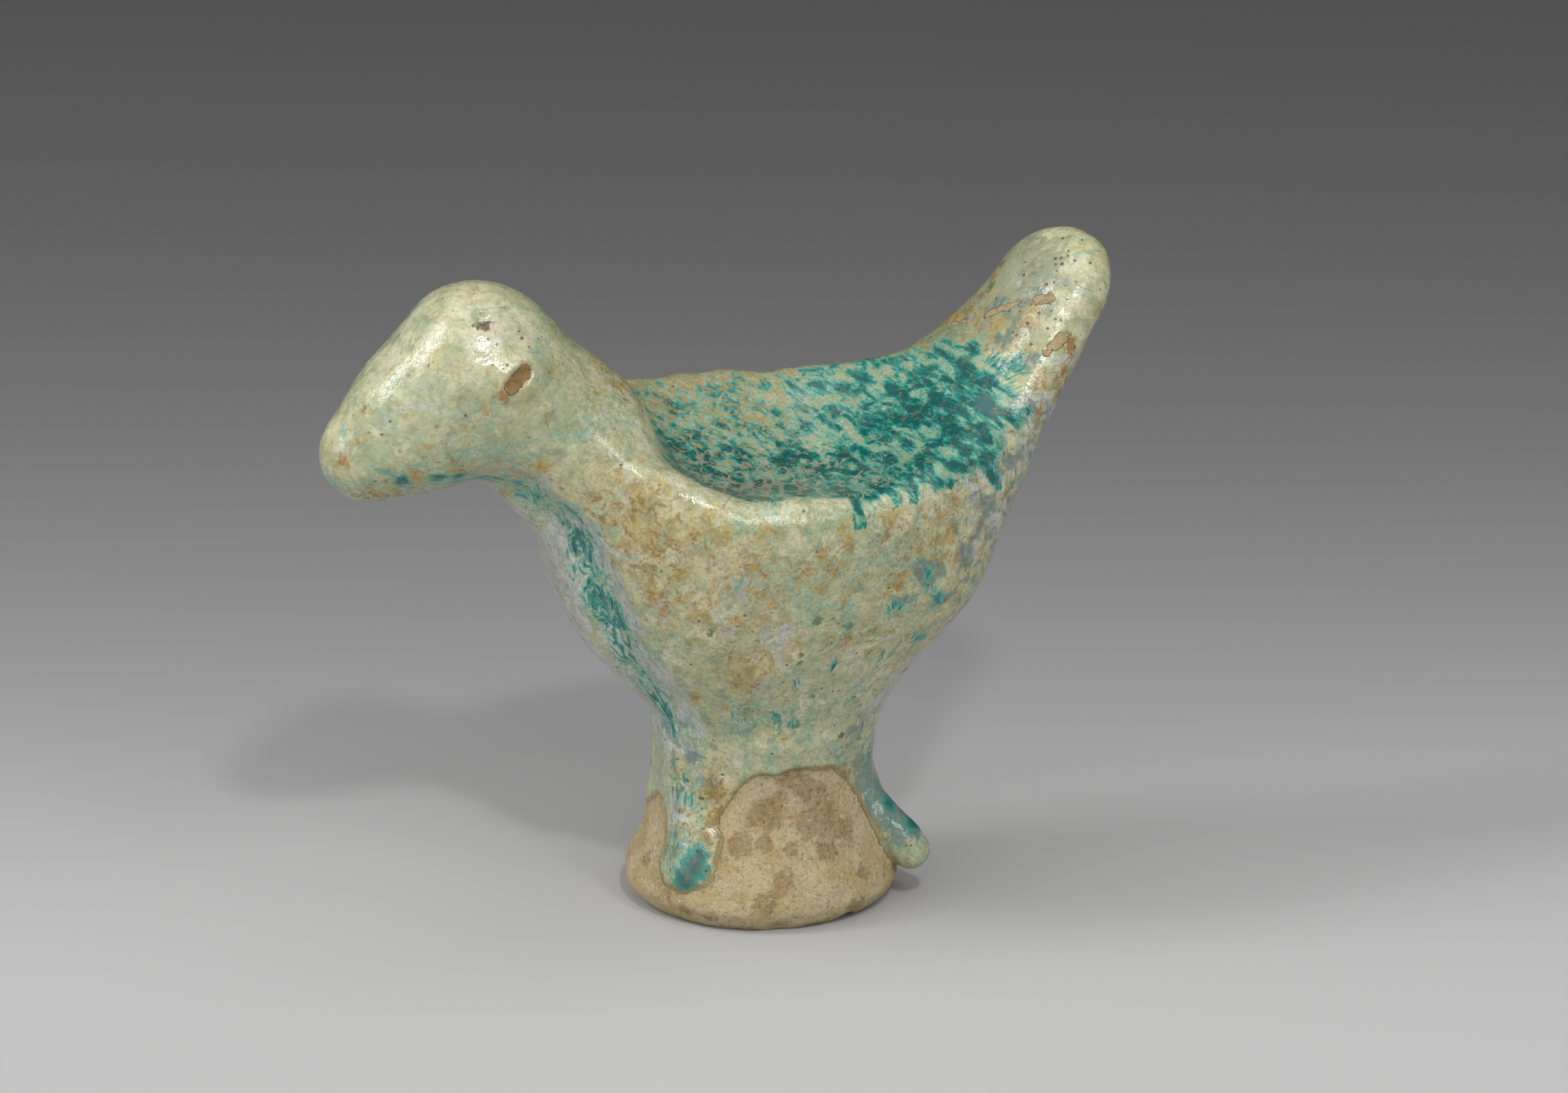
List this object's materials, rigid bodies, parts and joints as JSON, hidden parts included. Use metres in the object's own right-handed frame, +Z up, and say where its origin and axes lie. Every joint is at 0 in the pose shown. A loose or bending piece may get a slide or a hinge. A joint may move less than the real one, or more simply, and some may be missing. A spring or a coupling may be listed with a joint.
{
  "type": "ceramic bird figurine",
  "caption": "Small solid glazed ceramic bird with a drooping head, dished back and upswept paddle tail, standing on a flared bare clay foot.",
  "frame": {"origin": "centre of the foot's flat underside, on the surface the bird stands on", "axes": "+Z up, -X the way the bird looks, so +X towards the tail and -Y its left side, which leans downwards"},
  "size_m": [0.091, 0.0389, 0.0748],
  "materials": {
    "glazed_clay": "weathered pale green glaze, glossy, mottled with turquoise, over a bare buff clay foot"
  },
  "bodies": {
    "root": {"bird_figurine": "glazed_clay"}
  },
  "joints": []
}
